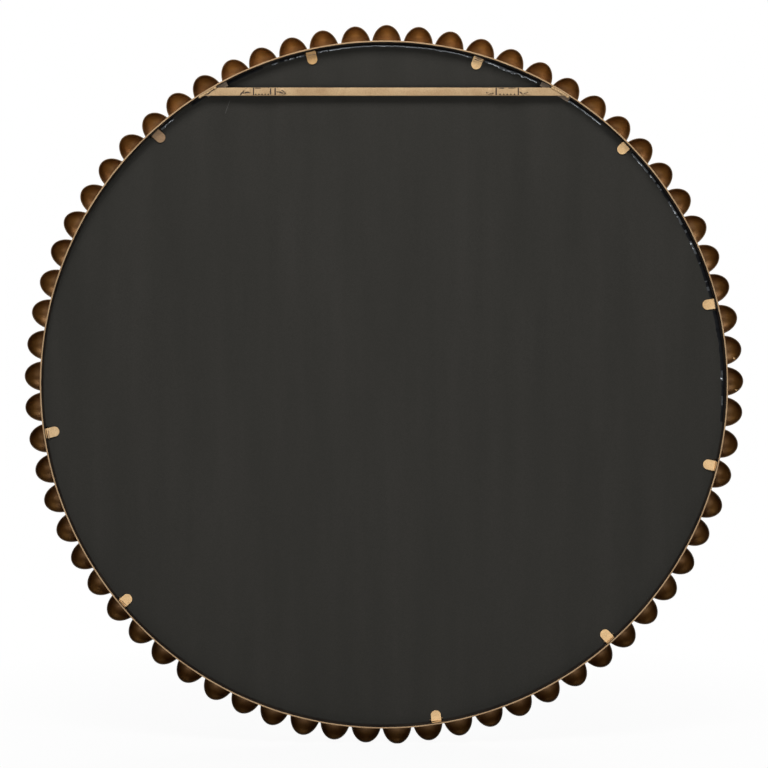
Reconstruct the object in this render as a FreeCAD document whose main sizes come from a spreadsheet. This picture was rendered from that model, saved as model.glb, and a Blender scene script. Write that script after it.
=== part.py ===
import FreeCAD, Part
import os
import Sketcher

# Round wall mirror with a petal rim, in millimetres.
# +Z is up, +Y points to the wall behind the mirror and the pane reflects towards -Y.
# The origin is the middle of the disc, halfway through the rim's depth.
# Left and right are as seen from behind, so right is -X.

SIZES = {
    # hoop of rolled angle strip, its short leg in front of the pane
    "rim_outer_radius": 437.6,
    "rim_thickness": 2.2,
    "rim_depth": 20.0,
    "lip_width": 7.0,
    "lip_thickness": 2.0,
    # pressed egg-shaped cups on the outside of the hoop, as half axes about a point inside the hoop
    "petal_half_width": 18.9,
    "petal_length": 25.6,
    "petal_depth": 18.0,
    "petal_sink": 6.0,
    "petal_wall": 1.1,
    "petal_gap": 2.8,
    "petal_setback": 2.0,
    "petal_phase_degrees": 1.74,
    # pane and board
    "pane_edge_gap": 3.6,
    "glass_thickness": 4.0,
    "board_thickness": 3.0,
    # sealant between the board's edge and the hoop
    "sealant_overlap": 2.4,
    "sealant_rise": 1.2,
    "sealant_notch_clearance": 1.5,
    # bar across the back
    "bar_height": 10.2,
    "bar_thickness": 3.0,
    "bar_setback": 2.6,
    # strips that carry the bar's ends
    "seat_width": 6.0,
    "seat_thickness": 3.0,
    "seat_above": 27.0,
    "seat_below_left": 3.0,
    "seat_below_right": 14.5,
    # sawtooth hangers
    "hanger_length": 56.0,
    "hanger_height": 9.0,
    "hanger_thickness": 0.9,
    "hanger_ramp": 1.3,
    "hanger_lift": 1.4,
    "hanger_corner_cut": 1.6,
    "hanger_shear": 7.0,
    "tooth_pitch": 4.5,
    "tooth_depth": 1.7,
    "tooth_mouth": 3.2,
    # rivets through hanger and bar
    "rivet_inset": 6.2,
    "rivet_ramp_clearance": 3.5,
    "rivet_shank_radius": 1.5,
    "rivet_hole_clearance": 0.1,
    "rivet_head_radius": 4.3,
    "rivet_head_height": 0.9,
    # folding tabs and their standing roots
    "tab_width": 12.7,
    "tab_thickness": 1.2,
    "tab_reach": 15.0,
    "tab_crank": 5.0,
    "tab_lift": 1.6,
    "tab_rest_gap": 0.3,
    "tab_hinge_gap": 0.3,
    "tab_root_length": 7.0,
    # how far every cut runs past the piece that it cuts
    "overrun": 2.0,
}
SHARES = {
    # height of the bar above the middle, of the hoop's inner radius
    "bar_rise_share": 0.8576,
    # place of each hanger along the bar, of half the bar's length
    "hanger_left_share": 0.678,
    "hanger_right_share": 0.697,
    # rounding of a tab's free end, of half its width
    "tab_round_share": 0.97,
}

# Each tab's place round the rim and its lean, both in degrees as seen from behind,
# and its share of the reach. The place counts anticlockwise from the right,
# and a positive lean moves the free end clockwise.
TABS = [
    (14.0, -5.0, 1.0),
    (44.8, -1.5, 0.89),
    (73.9, -5.5, 0.99),
    (102.4, 0.5, 1.05),
    (132.1, 5.5, 1.0),
    (188.0, 5.5, 1.02),
    (219.7, 0.5, 0.9),
    (278.9, -3.0, 0.86),
    (311.7, 1.5, 0.97),
    (346.4, 1.0, 0.97),
]

# A petal is a cup of flat facets: its sides from end to end, and its rings by degrees above the open back
PETAL_SIDES = 6
PETAL_RINGS = [0.0, 38.0]

AXIS_X = FreeCAD.Vector(1, 0, 0)
AXIS_Y = FreeCAD.Vector(0, 1, 0)
AXIS_Z = FreeCAD.Vector(0, 0, 1)
QUARTER_TURN = 90
HALF_TURN = 180
FULL_TURN = 360

# Formulas that several pieces share
RIM_INSIDE = "(sizes.rim_outer_radius - sizes.rim_thickness)"
RIM_BACK = "(sizes.rim_depth / 2)"
LIP_BACK = "(sizes.lip_thickness - sizes.rim_depth / 2)"
GLASS_BACK = f"({LIP_BACK} + sizes.glass_thickness)"
BOARD_BACK = f"({GLASS_BACK} + sizes.board_thickness)"
PANE_RADIUS = f"({RIM_INSIDE} - sizes.pane_edge_gap)"
PETAL_BACK = f"({RIM_BACK} - sizes.petal_setback)"
PETAL_CENTRE = "(sizes.rim_outer_radius - sizes.petal_sink)"
PETAL_FOOT = "(2 * sizes.petal_half_width * sqrt(1 - (sizes.petal_sink / sizes.petal_length)^2))"
PETAL_COUNT = f"floor(2 * pi * sizes.rim_outer_radius / ({PETAL_FOOT} + sizes.petal_gap))"
BAR_BACK = f"({RIM_BACK} - sizes.bar_setback)"
BAR_FRONT = f"({BAR_BACK} - sizes.bar_thickness)"
BAR_RISE = f"({RIM_INSIDE} * sizes.bar_rise_share)"
BAR_LOW = f"({BAR_RISE} - sizes.bar_height / 2)"
BAR_HIGH = f"({BAR_RISE} + sizes.bar_height / 2)"
BAR_HALF_LENGTH = f"sqrt({RIM_INSIDE}^2 - {BAR_RISE}^2)"
RIVET_REACH = "(sizes.hanger_length / 2 - sizes.rivet_inset)"
RIVET_HOLE = "(sizes.rivet_shank_radius + sizes.rivet_hole_clearance)"
HALF_TAB = "(sizes.tab_thickness / 2)"
TAB_AXIS_DEPTH = f"({BOARD_BACK} + sizes.tab_lift)"
DEGREES_PER_LENGTH = f"(180 / (pi * {RIM_INSIDE}))"

doc = FreeCAD.newDocument("round_mirror")
sizes = doc.addObject("Spreadsheet::Sheet", "sizes")
for row, (alias, number) in enumerate((SIZES | SHARES).items(), start=1):
    sizes.set(f"A{row}", alias.replace("_", " "))
    sizes.set(f"B{row}", str(number))
    sizes.setAlias(f"B{row}", alias)
doc.recompute()

nodes = []


def value(formula):
    """Work out a formula of the sheet as a plain number."""
    result = sizes.evalExpression(formula)
    return float(getattr(result, "Value", result))


def as_node(piece):
    """Keep a finished piece as one of the mirror's sub-parts."""
    nodes.append(piece)
    return piece


def origin_feature(body, role):
    """Find a plane or an axis of a body's own origin."""
    return next(feature for feature in body.Origin.OriginFeatures if feature.Role == role)


def new_body(label):
    """Start a piece under its own label."""
    body = doc.addObject("PartDesign::Body", label)
    body.Label = label
    return body


def new_sketch(body, name, role):
    """Start a sketch on one of a body's origin planes."""
    sketch = body.newObject("Sketcher::SketchObject", f"{body.Name}_{name}")
    sketch.AttachmentSupport = [(origin_feature(body, role), "")]
    sketch.MapMode = "FlatFace"
    return sketch


def tie(sketch, kind, places, formula):
    """Add one dimension to a sketch and bind it to a formula."""
    index = sketch.addConstraint(Sketcher.Constraint(kind, *places, value(formula)))
    sketch.setExpression(f"Constraints[{index}]", formula)


def tie_point(sketch, geometry, end, across, up):
    """Hold one end of a line or an arc at a place given by two formulas."""
    for kind, formula, axis in (("DistanceX", across, -2), ("DistanceY", up, -1)):
        if formula == "0":
            sketch.addConstraint(Sketcher.Constraint("PointOnObject", geometry, end, axis))
        else:
            tie(sketch, kind, (-1, 1, geometry, end), formula)


def arc_between(start, finish, radius):
    """Make the anticlockwise arc of under half a turn from one point to another."""
    chord = finish - start
    half = chord.Length / 2
    inwards = FreeCAD.Vector(-chord.y, chord.x, 0).normalize()
    centre = (start + finish) / 2 + inwards * (radius ** 2 - half ** 2) ** 0.5
    middle = centre - inwards * radius
    return Part.Arc(start, middle, finish)


def draw_outline(sketch, corners, radii=None):
    """Draw a closed outline through corners given as formulas, anticlockwise.

    radii gives the radius formula of each side that is an arc bulging outwards, by the side's number.
    """
    radii = radii or {}
    points = [FreeCAD.Vector(value(across), value(up), 0) for across, up in corners]
    count = len(points)
    for side, start in enumerate(points):
        finish = points[(side + 1) % count]
        if side in radii:
            sketch.addGeometry(arc_between(start, finish, value(radii[side])), False)
        else:
            sketch.addGeometry(Part.LineSegment(start, finish), False)
    for side, (across, up) in enumerate(corners):
        sketch.addConstraint(Sketcher.Constraint("Coincident", side, 2, (side + 1) % count, 1))
        tie_point(sketch, side, 1, across, up)
    for side, radius in radii.items():
        tie(sketch, "Radius", (side,), radius)


def draw_hole(sketch, across, up, radius):
    """Draw a circle whose centre and radius are formulas."""
    centre = FreeCAD.Vector(value(across), value(up), 0)
    hole = sketch.addGeometry(Part.Circle(centre, AXIS_Z, value(radius)), False)
    tie_point(sketch, hole, 3, across, up)
    tie(sketch, "Radius", (hole,), radius)


def pad(body, sketch, length, both_ways):
    """Pad a sketch by a length, to one side or half to each."""
    feature = body.newObject("PartDesign::Pad", f"{sketch.Name}_pad")
    feature.Profile = sketch
    feature.SideType = "Symmetric" if both_ways else "One side"
    feature.setExpression("Length", length)
    doc.recompute()


def pocket(body, sketch):
    """Cut a sketch right through a body, both ways, and make sure that it cuts."""
    before = body.Shape.Volume
    feature = body.newObject("PartDesign::Pocket", f"{sketch.Name}_pocket")
    feature.Profile = sketch
    feature.Type = "ThroughAll"
    feature.SideType = "Symmetric"
    doc.recompute()
    if not body.Shape.Volume < before:
        raise RuntimeError(f"{feature.Name} cuts nothing")
    return feature


def dress_edges(body, wanted, kind, measure, size):
    """Round or cut the edges of a body that a test picks."""
    base = body.Tip
    picked = [f"Edge{number}" for number, edge in enumerate(base.Shape.Edges, start=1) if wanted(edge)]
    feature = body.newObject(f"PartDesign::{kind}", f"{body.Name}_{kind.lower()}")
    feature.Base = (base, picked)
    feature.setExpression(measure, size)
    doc.recompute()


def runs_along(edge, direction):
    """Tell whether an edge is straight and runs along a direction."""
    if not isinstance(edge.Curve, Part.Line):
        return False
    return edge.Curve.Direction.cross(direction).Length < Part.Precision.angular() * HALF_TURN


def turned(label, corners, radii=None, angle=None):
    """Turn an outline of radius and depth about the mirror's axis: a full ring, or an arc centred on +X."""
    body = new_body(label)
    sketch = new_sketch(body, "section", "XY_Plane")
    draw_outline(sketch, corners, radii)
    doc.recompute()
    feature = body.newObject("PartDesign::Revolution", f"{body.Name}_turn")
    feature.Profile = sketch
    feature.ReferenceAxis = (sketch, ["V_Axis"])
    if angle is None:
        feature.Angle = FULL_TURN
    else:
        feature.Midplane = True
        feature.setExpression("Angle", angle)
    doc.recompute()
    return body


def turn_to(body, place):
    """Turn a piece built on +X to its place round the rim, in degrees as seen from behind."""
    body.Placement = FreeCAD.Placement(FreeCAD.Vector(), FreeCAD.Rotation(AXIS_Y, HALF_TURN))
    body.setExpression("Placement.Rotation.Angle", f"{HALF_TURN} + {place}")


def group(label, members):
    """Gather separate solids into one sub-part."""
    compound = doc.addObject("Part::Compound", label)
    compound.Label = label
    compound.Links = members
    return as_node(compound)


def box_section(low, high, front, back):
    """Give the corners of a rectangle of radius and depth."""
    return [(low, front), (high, front), (high, back), (low, back)]


def make_hoop_and_pane():
    """Hoop, pane and backing board, from the outside in."""
    rim_front = f"-{RIM_BACK}"
    lip_inside = f"{RIM_INSIDE} - sizes.lip_width"
    as_node(turned("rim_band", [
        (lip_inside, rim_front),
        ("sizes.rim_outer_radius", rim_front),
        ("sizes.rim_outer_radius", RIM_BACK),
        (RIM_INSIDE, RIM_BACK),
        (RIM_INSIDE, LIP_BACK),
        (lip_inside, LIP_BACK),
    ]))
    as_node(turned("mirror_glass", box_section("0", PANE_RADIUS, LIP_BACK, GLASS_BACK)))
    as_node(turned("backing_board", box_section("0", PANE_RADIUS, GLASS_BACK, BOARD_BACK)))


def make_petals():
    """One hollow cup, open to the back and cut flat where it meets the hoop, repeated round the hoop."""
    def cup(name, inset):
        half_width, length, depth = (
            f"(sizes.petal_{side} - {inset})" for side in ("half_width", "length", "depth")
        )
        end_degrees = value(f"acos(sizes.petal_sink / {length})")
        turns = [end_degrees * (2 * side / PETAL_SIDES - 1) for side in range(PETAL_SIDES + 1)]
        rings = []
        for number, above in enumerate(PETAL_RINGS):
            ring = doc.addObject("Sketcher::SketchObject", f"{name}_ring_{number}")
            draw_outline(ring, [
                (f"{PETAL_CENTRE} + {length} * cos({above}) * cos({turn})",
                 f"{half_width} * cos({above}) * sin({turn})")
                for turn in [-QUARTER_TURN, *turns, QUARTER_TURN]
            ])
            ring.Placement = FreeCAD.Placement(FreeCAD.Vector(), FreeCAD.Rotation(AXIS_X, QUARTER_TURN))
            ring.setExpression("Placement.Base.y", f"{PETAL_BACK} - {depth} * sin({above})")
            rings.append(ring)
        top = doc.addObject("Part::Vertex", f"{name}_top")
        top.setExpression("X", PETAL_CENTRE)
        top.setExpression("Y", f"{PETAL_BACK} - {depth}")
        loft = doc.addObject("Part::Loft", name)
        loft.Sections = rings + [top]
        loft.Solid = True
        loft.Ruled = True
        loft.Linearize = True
        return loft

    shell = doc.addObject("Part::Cut", "petal_shell")
    shell.Base = cup("petal_outside", "0")
    shell.Tool = cup("petal_inside", "sizes.petal_wall")
    hoop_side = doc.addObject("Part::Box", "petal_hoop_side")
    room = "(2 * (sizes.petal_length + sizes.overrun))"
    for side in ("Length", "Width", "Height"):
        hoop_side.setExpression(side, room)
    hoop_side.setExpression("Placement.Base.x", f"sizes.rim_outer_radius - {room}")
    hoop_side.setExpression("Placement.Base.y", f"{PETAL_BACK} - {room} / 2")
    hoop_side.setExpression("Placement.Base.z", f"-{room} / 2")
    petal = doc.addObject("Part::Cut", "petal")
    petal.Base = shell
    petal.Tool = hoop_side
    doc.recompute()

    body = new_body("petals")
    body.AllowCompound = True
    body.BaseFeature = petal
    doc.recompute()
    pattern = body.newObject("PartDesign::PolarPattern", "petal_pattern")
    pattern.TransformMode = "Whole shape"
    pattern.Axis = (origin_feature(body, "Y_Axis"), [""])
    pattern.Angle = FULL_TURN
    pattern.setExpression("Occurrences", PETAL_COUNT)
    body.Tip = pattern
    body.Placement = FreeCAD.Placement(FreeCAD.Vector(), FreeCAD.Rotation(AXIS_Y, -QUARTER_TURN))
    body.setExpression("Placement.Rotation.Angle", "sizes.petal_phase_degrees")
    as_node(body)


def make_bar():
    """Flat bar across the hoop, its ends shaped to the hoop, with the rivet holes."""
    body = new_body("hanging_bar")
    outline = new_sketch(body, "outline", "XZ_Plane")
    low_end = f"sqrt({RIM_INSIDE}^2 - {BAR_LOW}^2)"
    high_end = f"sqrt({RIM_INSIDE}^2 - {BAR_HIGH}^2)"
    corners = [
        (f"-{low_end}", BAR_LOW),
        (low_end, BAR_LOW),
        (high_end, BAR_HIGH),
        (f"-{high_end}", BAR_HIGH),
    ]
    draw_outline(outline, corners, {1: RIM_INSIDE, 3: RIM_INSIDE})
    pad(body, outline, "sizes.bar_thickness", False)
    holes = new_sketch(body, "holes", "XZ_Plane")
    for centre in rivet_places():
        draw_hole(holes, centre, BAR_RISE, RIVET_HOLE)
    pocket(body, holes)
    body.setExpression("Placement.Base.y", BAR_BACK)
    as_node(body)


def make_bar_seats():
    """Short strips on the inside of the hoop that the bar's ends lie on and are welded to."""
    inside = f"{RIM_INSIDE} - sizes.seat_width"
    front = f"{BAR_FRONT} - sizes.seat_thickness"
    bar_end = "asin(sizes.bar_rise_share) / 1 deg"
    seats = []
    for side in ("left", "right"):
        below = f"sizes.seat_below_{side}"
        length = f"(sizes.seat_above + {below})"
        seat = turned(
            f"bar_seat_{side}",
            box_section(inside, RIM_INSIDE, front, BAR_FRONT),
            angle=f"{length} * {DEGREES_PER_LENGTH}",
        )
        middle = f"({bar_end} + (sizes.seat_above - {below}) / 2 * {DEGREES_PER_LENGTH})"
        turn_to(seat, middle if side == "right" else f"({HALF_TURN} - {middle})")
        seats.append(seat)
    group("bar_seats", seats)


def hanger_centres():
    """Give each hanger's place along the bar, by its side."""
    return {
        "left": f"sizes.hanger_left_share * {BAR_HALF_LENGTH}",
        "right": f"-sizes.hanger_right_share * {BAR_HALF_LENGTH}",
    }


def rivet_places():
    """Give the place of each rivet along the bar."""
    return [
        f"{centre} {sign} {RIVET_REACH}"
        for centre in hanger_centres().values()
        for sign in ("-", "+")
    ]


def make_hanger(side, centre):
    """Stamped strip with a raised middle and a toothed lower edge. The left one's outer end is sheared."""
    body = new_body(f"sawtooth_hanger_{side}")
    end = "(sizes.hanger_length / 2)"
    foot = f"({RIVET_REACH} - sizes.rivet_head_radius - sizes.rivet_ramp_clearance)"
    top = f"({foot} - sizes.hanger_ramp)"
    thick = "sizes.hanger_thickness"
    lift = "sizes.hanger_lift"
    shift = f"{thick} * tan(atan({lift} / sizes.hanger_ramp) / 2)"
    right_side = [
        (end, "0"),
        (end, thick),
        (f"{foot} + {shift}", thick),
        (f"{top} + {shift}", f"{lift} + {thick}"),
    ]
    left_side = [(f"-({across})", depth) for across, depth in reversed(right_side)]
    under_side = [(f"-{foot}", "0"), (f"-{top}", lift), (top, lift), (foot, "0")]
    profile = new_sketch(body, "profile", "XY_Plane")
    draw_outline(profile, right_side + left_side + under_side)
    pad(body, profile, "sizes.hanger_height", True)

    near_end = value(f"{end} - {thick}")
    dress_edges(
        body,
        lambda edge: runs_along(edge, AXIS_Y) and abs(edge.CenterOfMass.x) > near_end,
        "Chamfer",
        "Size",
        "sizes.hanger_corner_cut",
    )
    low = "(-sizes.hanger_height / 2)"
    half_mouth = "sizes.tooth_mouth / 2"
    count = f"floor(2 * {top} / sizes.tooth_pitch)"
    first = f"(-({count} - 1) * sizes.tooth_pitch / 2)"
    gap = new_sketch(body, "tooth_gap", "XZ_Plane")
    draw_outline(gap, [
        (f"{first} - {half_mouth}", f"{low} - sizes.overrun"),
        (f"{first} + {half_mouth}", f"{low} - sizes.overrun"),
        (f"{first} + {half_mouth}", low),
        (first, f"{low} + sizes.tooth_depth"),
        (f"{first} - {half_mouth}", low),
    ])
    first_gap = pocket(body, gap)
    teeth = body.newObject("PartDesign::LinearPattern", f"{body.Name}_teeth")
    teeth.Originals = [first_gap]
    teeth.Direction = (gap, ["H_Axis"])
    teeth.setExpression("Length", f"({count} - 1) * sizes.tooth_pitch")
    teeth.setExpression("Occurrences", count)
    body.Tip = teeth
    doc.recompute()
    holes = new_sketch(body, "holes", "XZ_Plane")
    for sign in ("-", ""):
        draw_hole(holes, f"{sign}{RIVET_REACH}", "0", RIVET_HOLE)
    pocket(body, holes)
    if side == "left":
        high = "(sizes.hanger_height / 2)"
        shear = new_sketch(body, "shear", "XZ_Plane")
        draw_outline(shear, [
            (f"{end} + sizes.overrun", f"{low} - sizes.overrun"),
            (f"{end} + sizes.overrun", f"{high} + sizes.overrun"),
            (f"{end} - sizes.hanger_shear - sizes.overrun", f"{high} + sizes.overrun"),
        ])
        pocket(body, shear)
    body.setExpression("Placement.Base.x", centre)
    body.setExpression("Placement.Base.y", BAR_BACK)
    body.setExpression("Placement.Base.z", BAR_RISE)
    as_node(body)


def make_rivets():
    """Round-headed rivets, flush with the front of the bar."""
    tail = "-sizes.bar_thickness"
    seat = "sizes.hanger_thickness"
    crown = "(sizes.hanger_thickness + sizes.rivet_head_height)"
    dome = "(sizes.rivet_head_radius^2 + sizes.rivet_head_height^2) / (2 * sizes.rivet_head_height)"
    rivets = []
    for number, centre in enumerate(rivet_places(), start=1):
        rivet = turned(f"hanger_rivet_{number}", [
            ("0", tail),
            ("sizes.rivet_shank_radius", tail),
            ("sizes.rivet_shank_radius", seat),
            ("sizes.rivet_head_radius", seat),
            ("0", crown),
        ], {3: dome})
        rivet.setExpression("Placement.Base.x", centre)
        rivet.setExpression("Placement.Base.y", BAR_BACK)
        rivet.setExpression("Placement.Base.z", BAR_RISE)
        rivets.append(rivet)
    group("hanger_rivets", rivets)


def make_tab(number, place, lean, reach_share):
    """Folding leaf of one tab, rounded about its bend line, with the leaf lying on the board."""
    body = new_body(f"retaining_tab_{number:02d}")
    drop = f"(sizes.tab_lift - sizes.tab_rest_gap - {HALF_TAB})"
    slope = f"atan({drop} / sizes.tab_crank)"
    kink = f"{HALF_TAB} * tan({slope} / 2)"
    reach = f"(sizes.tab_reach * {reach_share})"
    across = f"({HALF_TAB} * sin({slope}))"
    up = f"({HALF_TAB} * cos({slope}))"
    profile = new_sketch(body, "profile", "XZ_Plane")
    draw_outline(profile, [
        (f"-{across}", f"-{up}"),
        (f"sizes.tab_crank - {kink}", f"-{drop} - {HALF_TAB}"),
        (reach, f"-{drop} - {HALF_TAB}"),
        (reach, f"{HALF_TAB} - {drop}"),
        (f"sizes.tab_crank + {kink}", f"{HALF_TAB} - {drop}"),
        (across, up),
        (f"-{up}", across),
    ], {5: HALF_TAB})
    pad(body, profile, "sizes.tab_width", True)
    near_end = value(f"{reach} - {HALF_TAB}")
    dress_edges(
        body,
        lambda edge: runs_along(edge, AXIS_Z) and edge.CenterOfMass.x > near_end,
        "Fillet",
        "Radius",
        "sizes.tab_width / 2 * sizes.tab_round_share",
    )
    # the bend line keeps its gap to the hoop at both corners of a leaning leaf
    lean_room = f"sizes.tab_width / 2 * sin({abs(lean)})"
    axis_radius = f"({RIM_INSIDE} - sizes.tab_hinge_gap - {HALF_TAB} - {lean_room})"
    lying = FreeCAD.Rotation(AXIS_X, -QUARTER_TURN)
    body.Placement = FreeCAD.Placement(FreeCAD.Vector(), FreeCAD.Rotation(AXIS_Y, place + lean) * lying)
    body.setExpression("Placement.Base.x", f"-{axis_radius} * cos({place})")
    body.setExpression("Placement.Base.y", TAB_AXIS_DEPTH)
    body.setExpression("Placement.Base.z", f"{axis_radius} * sin({place})")
    as_node(body)


def make_tabs():
    """Ten tabs, and their roots standing against the hoop."""
    for number, (place, lean, reach_share) in enumerate(TABS, start=1):
        make_tab(number, place, lean, reach_share)
    root_back = f"({TAB_AXIS_DEPTH} - {HALF_TAB} - sizes.tab_hinge_gap)"
    root_front = f"({root_back} - sizes.tab_root_length)"
    roots = []
    for number, (place, _, _) in enumerate(TABS, start=1):
        root = turned(
            f"tab_root_{number:02d}",
            box_section(f"{RIM_INSIDE} - sizes.tab_thickness", RIM_INSIDE, root_front, root_back),
            angle=f"sizes.tab_width * {DEGREES_PER_LENGTH}",
        )
        turn_to(root, place)
        roots.append(root)
    group("tab_roots", roots)


def make_sealant():
    """Bead that fills the gap round the pane and laps over the board, from each tab to the next."""
    section = [
        (PANE_RADIUS, LIP_BACK),
        (RIM_INSIDE, LIP_BACK),
        (RIM_INSIDE, f"{BOARD_BACK} + sizes.sealant_rise"),
        (f"{PANE_RADIUS} - sizes.sealant_overlap", BOARD_BACK),
        (PANE_RADIUS, BOARD_BACK),
    ]
    notch = f"((sizes.tab_width + 2 * sizes.sealant_notch_clearance) * {DEGREES_PER_LENGTH})"
    places = [place for place, _, _ in TABS]
    runs = []
    for number, (start, end) in enumerate(zip(places, places[1:] + [places[0] + FULL_TURN]), start=1):
        run = turned(f"sealant_run_{number:02d}", section, angle=f"{end - start} - {notch}")
        turn_to(run, (start + end) / 2)
        runs.append(run)
    group("sealant_bead", runs)


def check_and_write():
    """Refuse a failed or broken piece, then write each sub-part to its own file."""
    doc.recompute()
    for thing in doc.Objects:
        if {"Invalid", "Error"} & set(thing.State):
            raise RuntimeError(f"{thing.Name} failed: {thing.State}")
    for piece in nodes:
        if piece.Shape.isNull() or not piece.Shape.isValid() or not piece.Shape.Solids:
            raise RuntimeError(f"{piece.Label} has no sound solid")
    os.makedirs("parts", exist_ok=True)
    for piece in nodes:
        piece.Shape.exportStep(f"parts/{piece.Label}.step")
        print(piece.Label, len(piece.Shape.Solids), "solids", round(piece.Shape.Volume), "mm3")


make_hoop_and_pane()
make_petals()
make_bar()
make_bar_seats()
for hanger_side, hanger_centre in hanger_centres().items():
    make_hanger(hanger_side, hanger_centre)
make_rivets()
make_tabs()
make_sealant()
check_and_write()
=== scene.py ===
"""Looks of the round petal mirror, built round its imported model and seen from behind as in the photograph."""
import math
import random

import bmesh
import bpy
from mathutils import Matrix, Vector, noise
from mathutils.bvhtree import BVHTree


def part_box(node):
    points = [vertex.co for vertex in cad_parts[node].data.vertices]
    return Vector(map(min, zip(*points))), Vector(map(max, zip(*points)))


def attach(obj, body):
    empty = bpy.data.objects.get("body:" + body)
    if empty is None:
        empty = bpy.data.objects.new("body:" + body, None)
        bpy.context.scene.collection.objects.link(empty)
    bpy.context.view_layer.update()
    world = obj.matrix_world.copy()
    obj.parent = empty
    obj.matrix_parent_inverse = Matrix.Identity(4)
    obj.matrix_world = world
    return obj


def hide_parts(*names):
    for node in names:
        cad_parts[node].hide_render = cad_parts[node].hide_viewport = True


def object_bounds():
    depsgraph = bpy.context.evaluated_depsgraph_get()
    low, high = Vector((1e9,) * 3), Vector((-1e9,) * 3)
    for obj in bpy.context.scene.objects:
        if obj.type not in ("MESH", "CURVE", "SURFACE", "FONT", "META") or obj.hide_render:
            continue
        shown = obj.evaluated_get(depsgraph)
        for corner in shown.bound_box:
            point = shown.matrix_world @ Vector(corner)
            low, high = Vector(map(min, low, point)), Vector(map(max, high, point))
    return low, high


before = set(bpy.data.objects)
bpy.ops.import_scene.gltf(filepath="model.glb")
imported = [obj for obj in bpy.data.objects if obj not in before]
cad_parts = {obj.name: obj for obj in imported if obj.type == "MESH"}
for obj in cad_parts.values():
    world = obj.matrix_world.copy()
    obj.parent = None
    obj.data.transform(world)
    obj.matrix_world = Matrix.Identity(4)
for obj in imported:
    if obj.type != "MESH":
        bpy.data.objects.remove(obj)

cad_low, cad_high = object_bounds()

MM = 0.001
MERGE = 0.002 * MM
MAIN_BODY = "frame"
TO_WALL = Vector((0, 1, 0))
BOX_FACES = [(0, 1, 2, 3), (7, 6, 5, 4), (0, 4, 5, 1), (1, 5, 6, 2), (2, 6, 7, 3), (3, 7, 4, 0)]

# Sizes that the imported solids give
rim_low, rim_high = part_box("rim_band")
bar_low, bar_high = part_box("hanging_bar")
board_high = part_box("backing_board")[1]
RIM_OUTSIDE = rim_high.x
RIM_INSIDE = math.hypot(bar_high.x, bar_low.z)
PANE_RADIUS = board_high.x
BOARD_BACK = board_high.y
PETAL_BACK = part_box("petals")[1].y

# The photograph's middle in its pixels and its scale at the back of the part
PHOTO_CENTRE = (384.06, 384.23)
PHOTO_SCALE = 1.2735 * MM

# Petals: half axes of the cup about a point inside the hoop, as in the part's source
PETAL_COUNT = 69
PETAL_PHASE = math.radians(1.74)
PETAL_HALF_WIDTH = 18.9 * MM
PETAL_LENGTH = 25.6 * MM
PETAL_DEPTH = 18.0 * MM
PETAL_SINK = 6.0 * MM
PETAL_WALL = 1.1 * MM
PETAL_BITE = 0.6 * MM
PETAL_LIP = 0.3 * MM
PETAL_ACROSS = 22
PETAL_UP = 8
# How far they differ from each other: turn in radians, length and width in mm
PETAL_SEED = 11
TURN_SPREAD = 0.0008
LENGTH_SPREAD = 0.30
WIDTH_SPREAD = 0.12
# Painted shade inside the cups: how their brown changes from the hoop, at 0, to their tips, at 1, darker away from
# the hoop
RIM_SHADE_STOPS = [(0.22, (1.0, 1.0, 1.0)), (0.55, (0.70, 0.61, 0.29)), (0.9, (0.82, 0.76, 0.47))]
# Bright gold spots on the edges of two of them: width in mm and the photograph's pixels
PETAL_GOLD_SPOTS = [(2.4, [(733.6, 357.1), (735.1, 356.0)]), (1.5, [(735.7, 388.6), (737.0, 387.6)])]
GOLD_SPOT_SEED = 40.0

# Hoop and bar: rounded edges, and unevenness as its size and fineness
ROUNDING_STEPS = 3
LIP_WIDTH = 7.0 * MM
HOOP_ROUNDING = 0.5 * MM
HOOP_UNEVEN = (0.12 * MM, 60.0)
HOOP_STEPS = 420
BAR_ROUNDING = 0.55 * MM
BAR_UNEVEN = (0.10 * MM, 90.0)
BAR_STEPS = 90
# The hoop's inner wall, painted dark as painted shade, starts this far behind the lip, and its outer wall, in a
# lighter gold as painted light, this far from the outside
INNER_WALL_FROM = 0.1 * MM
OUTER_WALL_SKIN = 0.05 * MM
# How far below and above the bar the inner wall is gold
GOLD_BELOW_BAR = 1.5 * MM
GOLD_ABOVE_BAR = 0.5 * MM
# Cracks between the bar's ends and the welds, by the photograph's pixels
BAR_CRACKS = [
    [(218.0, 87.2), (213.5, 89.6), (210.5, 92.4), (206.8, 94.8)],
    [(553.0, 88.2), (557.0, 90.6), (561.4, 94.8)],
]
CRACK_WIDTH = 1.2 * MM
CRACK_SEED = 3.0

# Tabs: angle in the photograph, counted from its right
TAB_ANGLES = [14.0, 44.8, 73.9, 102.4, 132.1, 188.0, 219.7, 278.9, 311.7, 346.4]
# Darker bands and lines as painted shade on the folds of the soft tabs: tab, width in mm and the photograph's pixels
TAB_SHADE_BANDS = [
    (3, 1.0, [(473.8, 58.1), (482.9, 61.1)]), (3, 2.0, [(474.8, 56.4), (483.2, 59.1)]),
    (4, 0.7, [(308.0, 54.6), (316.4, 53.2)]), (6, 1.2, [(47.4, 428.4), (48.6, 436.8)]),
]
TAB_SHADE_CREASES = [
    (7, 0.8, [(118.6, 600.6), (124.5, 606.6)]),
    (7, 0.6, [(120.0, 599.4), (125.7, 605.2)]),
]
FOLD_SEED = 20.0

# Feet: tabs whose paint runs on over the root to the hoop, and where a foot keeps to its tab, board and hoop
FOOT_TABS = (6, 7, 8, 9, 10)
FOOT_MEASURED = 2.5 * MM
FOOT_INSET = 0.3 * MM
FOOT_BELOW_TAB = 0.1 * MM
FOOT_FROM_TAB = 0.02 * MM
FOOT_ROOT = 2.0 * MM
FOOT_BELOW_HOOP = 0.6 * MM
WALL_BITE = 0.15 * MM

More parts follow.
